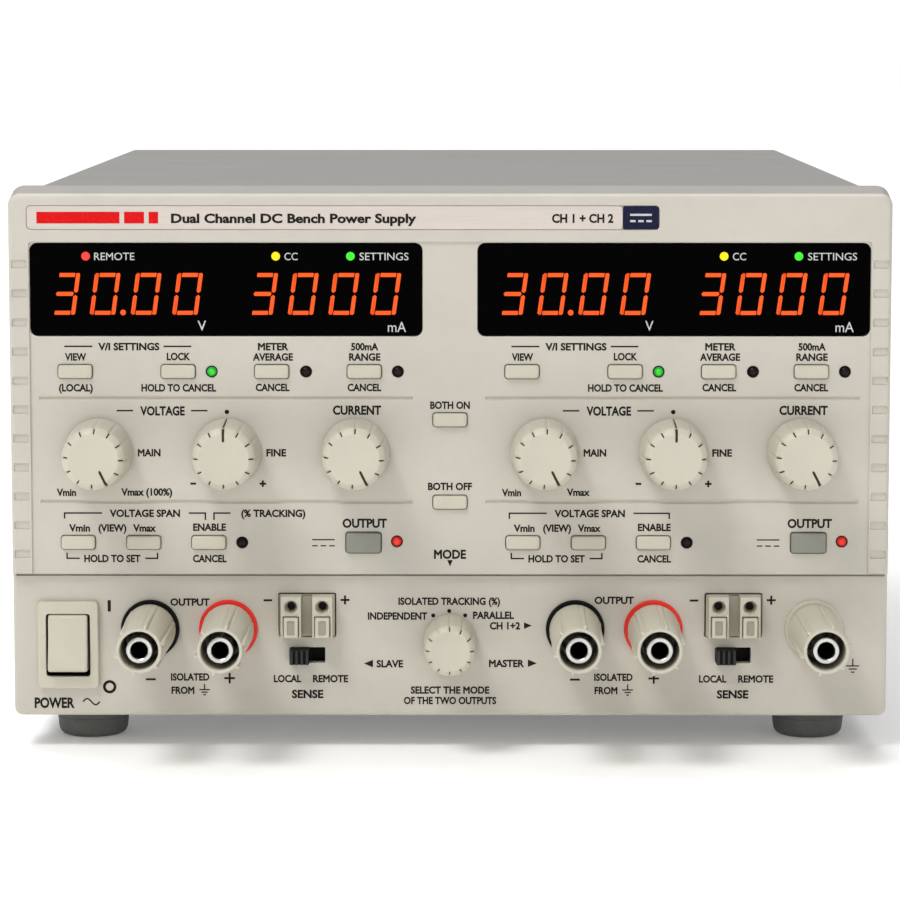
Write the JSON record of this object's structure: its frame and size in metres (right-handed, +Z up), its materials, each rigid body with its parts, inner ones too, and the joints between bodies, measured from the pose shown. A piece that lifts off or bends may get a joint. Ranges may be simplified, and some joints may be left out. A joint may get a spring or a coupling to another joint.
{
  "type": "bench power supply",
  "caption": "Dual-channel bench power supply: moulded front with knobs, keys, displays and screw-down terminals on a folded steel case with a finned heat sink.",
  "frame": {"origin": "on the surface under the feet, below the middle of the whole supply, terminals and cooling fins included", "axes": "+Z up, front face towards -Y, +X to the right of someone facing the front"},
  "size_m": [0.213, 0.35, 0.137],
  "materials": {
    "bezel_plastic": "warm light grey moulded plastic, fine spark texture",
    "cap_plastic": "cream moulded plastic, satin",
    "output_key_plastic": "mid grey moulded plastic, satin",
    "black_plastic": "black moulded plastic",
    "terminal_black": "black collar around a nickel-plated socket",
    "terminal_red": "red collar around a nickel-plated socket",
    "window_acrylic": "polished dark display filter",
    "cover_paint": "mid grey powder coat",
    "tray_steel": "zinc plated",
    "anodised_fins": "black anodised",
    "transformer_tape": "amber winding tape over copper windings and a steel core",
    "circuit_board": "green solder mask",
    "foot_rubber": "dark grey moulded rubber"
  },
  "bodies": {
    "case": {"front_bezel": "bezel_plastic", "display_board": "circuit_board", "display_window_1": "window_acrylic", "display_window_2": "window_acrylic", "terminal_post_negative_1": "terminal_black", "terminal_post_positive_1": "terminal_red", "terminal_post_negative_2": "terminal_black", "terminal_post_positive_2": "terminal_red", "terminal_post_ground": "cap_plastic", "sense_terminal_1": "cap_plastic", "sense_terminal_2": "cap_plastic", "power_switch_housing": "bezel_plastic", "top_cover": "cover_paint", "chassis_tray": "tray_steel", "rear_panel": "cover_paint", "mains_inlet": "black_plastic", "heat_sink": "anodised_fins", "mains_transformer": "transformer_tape", "main_board": "circuit_board", "foot_front_left": "foot_rubber", "foot_front_right": "foot_rubber", "foot_rear_left": "foot_rubber", "foot_rear_right": "foot_rubber"},
    "view_key_1": {"view_key_1": "cap_plastic"},
    "lock_key_1": {"lock_key_1": "cap_plastic"},
    "average_key_1": {"average_key_1": "cap_plastic"},
    "range_key_1": {"range_key_1": "cap_plastic"},
    "span_min_key_1": {"span_min_key_1": "cap_plastic"},
    "span_max_key_1": {"span_max_key_1": "cap_plastic"},
    "enable_key_1": {"enable_key_1": "cap_plastic"},
    "output_key_1": {"output_key_1": "output_key_plastic"},
    "view_key_2": {"view_key_2": "cap_plastic"},
    "lock_key_2": {"lock_key_2": "cap_plastic"},
    "average_key_2": {"average_key_2": "cap_plastic"},
    "range_key_2": {"range_key_2": "cap_plastic"},
    "span_min_key_2": {"span_min_key_2": "cap_plastic"},
    "span_max_key_2": {"span_max_key_2": "cap_plastic"},
    "enable_key_2": {"enable_key_2": "cap_plastic"},
    "output_key_2": {"output_key_2": "output_key_plastic"},
    "both_on_key": {"both_on_key": "cap_plastic"},
    "both_off_key": {"both_off_key": "cap_plastic"},
    "voltage_main_knob_1": {"voltage_main_knob_1": "cap_plastic"},
    "voltage_fine_knob_1": {"voltage_fine_knob_1": "cap_plastic"},
    "current_knob_1": {"current_knob_1": "cap_plastic"},
    "voltage_main_knob_2": {"voltage_main_knob_2": "cap_plastic"},
    "voltage_fine_knob_2": {"voltage_fine_knob_2": "cap_plastic"},
    "current_knob_2": {"current_knob_2": "cap_plastic"},
    "mode_knob": {"mode_knob": "cap_plastic"},
    "terminal_cap_negative_1": {"terminal_cap_negative_1": "cap_plastic"},
    "terminal_cap_positive_1": {"terminal_cap_positive_1": "cap_plastic"},
    "terminal_cap_negative_2": {"terminal_cap_negative_2": "cap_plastic"},
    "terminal_cap_positive_2": {"terminal_cap_positive_2": "cap_plastic"},
    "terminal_cap_ground": {"terminal_cap_ground": "cap_plastic"},
    "sense_lever_negative_1": {"sense_lever_negative_1": "cap_plastic"},
    "sense_lever_positive_1": {"sense_lever_positive_1": "cap_plastic"},
    "sense_slider_1": {"sense_slider_1": "black_plastic"},
    "sense_lever_negative_2": {"sense_lever_negative_2": "cap_plastic"},
    "sense_lever_positive_2": {"sense_lever_positive_2": "cap_plastic"},
    "sense_slider_2": {"sense_slider_2": "black_plastic"},
    "power_rocker": {"power_rocker": "cap_plastic"}
  },
  "joints": [
    {"name": "view_key_1_press", "type": "slide", "parent": "case", "child": "view_key_1", "axis": [0, 1, 0], "range_m": [0, 0.0008], "stiffness_N_per_m": 400, "springref_m": -0.0003},
    {"name": "lock_key_1_press", "type": "slide", "parent": "case", "child": "lock_key_1", "axis": [0, 1, 0], "range_m": [0, 0.0008], "stiffness_N_per_m": 400, "springref_m": -0.0003},
    {"name": "average_key_1_press", "type": "slide", "parent": "case", "child": "average_key_1", "axis": [0, 1, 0], "range_m": [0, 0.0008], "stiffness_N_per_m": 400, "springref_m": -0.0003},
    {"name": "range_key_1_press", "type": "slide", "parent": "case", "child": "range_key_1", "axis": [0, 1, 0], "range_m": [0, 0.0008], "stiffness_N_per_m": 400, "springref_m": -0.0003},
    {"name": "span_min_key_1_press", "type": "slide", "parent": "case", "child": "span_min_key_1", "axis": [0, 1, 0], "range_m": [0, 0.0008], "stiffness_N_per_m": 400, "springref_m": -0.0003},
    {"name": "span_max_key_1_press", "type": "slide", "parent": "case", "child": "span_max_key_1", "axis": [0, 1, 0], "range_m": [0, 0.0008], "stiffness_N_per_m": 400, "springref_m": -0.0003},
    {"name": "enable_key_1_press", "type": "slide", "parent": "case", "child": "enable_key_1", "axis": [0, 1, 0], "range_m": [0, 0.0008], "stiffness_N_per_m": 400, "springref_m": -0.0003},
    {"name": "output_key_1_press", "type": "slide", "parent": "case", "child": "output_key_1", "axis": [0, 1, 0], "range_m": [0, 0.0008], "stiffness_N_per_m": 400, "springref_m": -0.0003},
    {"name": "view_key_2_press", "type": "slide", "parent": "case", "child": "view_key_2", "axis": [0, 1, 0], "range_m": [0, 0.0008], "stiffness_N_per_m": 400, "springref_m": -0.0003},
    {"name": "lock_key_2_press", "type": "slide", "parent": "case", "child": "lock_key_2", "axis": [0, 1, 0], "range_m": [0, 0.0008], "stiffness_N_per_m": 400, "springref_m": -0.0003},
    {"name": "average_key_2_press", "type": "slide", "parent": "case", "child": "average_key_2", "axis": [0, 1, 0], "range_m": [0, 0.0008], "stiffness_N_per_m": 400, "springref_m": -0.0003},
    {"name": "range_key_2_press", "type": "slide", "parent": "case", "child": "range_key_2", "axis": [0, 1, 0], "range_m": [0, 0.0008], "stiffness_N_per_m": 400, "springref_m": -0.0003},
    {"name": "span_min_key_2_press", "type": "slide", "parent": "case", "child": "span_min_key_2", "axis": [0, 1, 0], "range_m": [0, 0.0008], "stiffness_N_per_m": 400, "springref_m": -0.0003},
    {"name": "span_max_key_2_press", "type": "slide", "parent": "case", "child": "span_max_key_2", "axis": [0, 1, 0], "range_m": [0, 0.0008], "stiffness_N_per_m": 400, "springref_m": -0.0003},
    {"name": "enable_key_2_press", "type": "slide", "parent": "case", "child": "enable_key_2", "axis": [0, 1, 0], "range_m": [0, 0.0008], "stiffness_N_per_m": 400, "springref_m": -0.0003},
    {"name": "output_key_2_press", "type": "slide", "parent": "case", "child": "output_key_2", "axis": [0, 1, 0], "range_m": [0, 0.0008], "stiffness_N_per_m": 400, "springref_m": -0.0003},
    {"name": "both_on_key_press", "type": "slide", "parent": "case", "child": "both_on_key", "axis": [0, 1, 0], "range_m": [0, 0.0008], "stiffness_N_per_m": 400, "springref_m": -0.0003},
    {"name": "both_off_key_press", "type": "slide", "parent": "case", "child": "both_off_key", "axis": [0, 1, 0], "range_m": [0, 0.0008], "stiffness_N_per_m": 400, "springref_m": -0.0003},
    {"name": "voltage_main_knob_1_turn", "type": "hinge", "parent": "case", "child": "voltage_main_knob_1", "pos_m": [-0.0851, -0.1438, 0.073], "axis": [0, 1, 0], "range_deg": [-300, 0]},
    {"name": "voltage_fine_knob_1_turn", "type": "hinge", "parent": "case", "child": "voltage_fine_knob_1", "pos_m": [-0.054, -0.1438, 0.073], "axis": [0, 1, 0], "range_deg": [-150, 150]},
    {"name": "current_knob_1_turn", "type": "hinge", "parent": "case", "child": "current_knob_1", "pos_m": [-0.0229, -0.1438, 0.073], "axis": [0, 1, 0], "range_deg": [-300, 0]},
    {"name": "voltage_main_knob_2_turn", "type": "hinge", "parent": "case", "child": "voltage_main_knob_2", "pos_m": [0.0229, -0.1438, 0.073], "axis": [0, 1, 0], "range_deg": [-300, 0]},
    {"name": "voltage_fine_knob_2_turn", "type": "hinge", "parent": "case", "child": "voltage_fine_knob_2", "pos_m": [0.054, -0.1438, 0.073], "axis": [0, 1, 0], "range_deg": [-150, 150]},
    {"name": "current_knob_2_turn", "type": "hinge", "parent": "case", "child": "current_knob_2", "pos_m": [0.0851, -0.1438, 0.073], "axis": [0, 1, 0], "range_deg": [-300, 0]},
    {"name": "mode_knob_turn", "type": "hinge", "parent": "case", "child": "mode_knob", "pos_m": [0, -0.1438, 0.0267], "axis": [0, 1, 0], "range_deg": [0, 60]},
    {"name": "terminal_cap_negative_1_unscrew", "type": "slide", "parent": "case", "child": "terminal_cap_negative_1", "axis": [0, -1, 0], "range_m": [0, 0.004]},
    {"name": "terminal_cap_positive_1_unscrew", "type": "slide", "parent": "case", "child": "terminal_cap_positive_1", "axis": [0, -1, 0], "range_m": [0, 0.004]},
    {"name": "terminal_cap_negative_2_unscrew", "type": "slide", "parent": "case", "child": "terminal_cap_negative_2", "axis": [0, -1, 0], "range_m": [0, 0.004]},
    {"name": "terminal_cap_positive_2_unscrew", "type": "slide", "parent": "case", "child": "terminal_cap_positive_2", "axis": [0, -1, 0], "range_m": [0, 0.004]},
    {"name": "terminal_cap_ground_unscrew", "type": "slide", "parent": "case", "child": "terminal_cap_ground", "axis": [0, -1, 0], "range_m": [0, 0.004]},
    {"name": "sense_lever_negative_1_press", "type": "slide", "parent": "case", "child": "sense_lever_negative_1", "axis": [0, 1, 0], "range_m": [0, 0.002], "stiffness_N_per_m": 900, "springref_m": -0.0003},
    {"name": "sense_lever_positive_1_press", "type": "slide", "parent": "case", "child": "sense_lever_positive_1", "axis": [0, 1, 0], "range_m": [0, 0.002], "stiffness_N_per_m": 900, "springref_m": -0.0003},
    {"name": "sense_slider_1_slide", "type": "slide", "parent": "case", "child": "sense_slider_1", "axis": [1, 0, 0], "range_m": [0, 0.0037]},
    {"name": "sense_lever_negative_2_press", "type": "slide", "parent": "case", "child": "sense_lever_negative_2", "axis": [0, 1, 0], "range_m": [0, 0.002], "stiffness_N_per_m": 900, "springref_m": -0.0003},
    {"name": "sense_lever_positive_2_press", "type": "slide", "parent": "case", "child": "sense_lever_positive_2", "axis": [0, 1, 0], "range_m": [0, 0.002], "stiffness_N_per_m": 900, "springref_m": -0.0003},
    {"name": "sense_slider_2_slide", "type": "slide", "parent": "case", "child": "sense_slider_2", "axis": [1, 0, 0], "range_m": [0, 0.0037]},
    {"name": "power_rocker_tip", "type": "hinge", "parent": "case", "child": "power_rocker", "pos_m": [-0.0931, -0.1404, 0.0256], "axis": [1, 0, 0], "range_deg": [0, 18]}
  ]
}
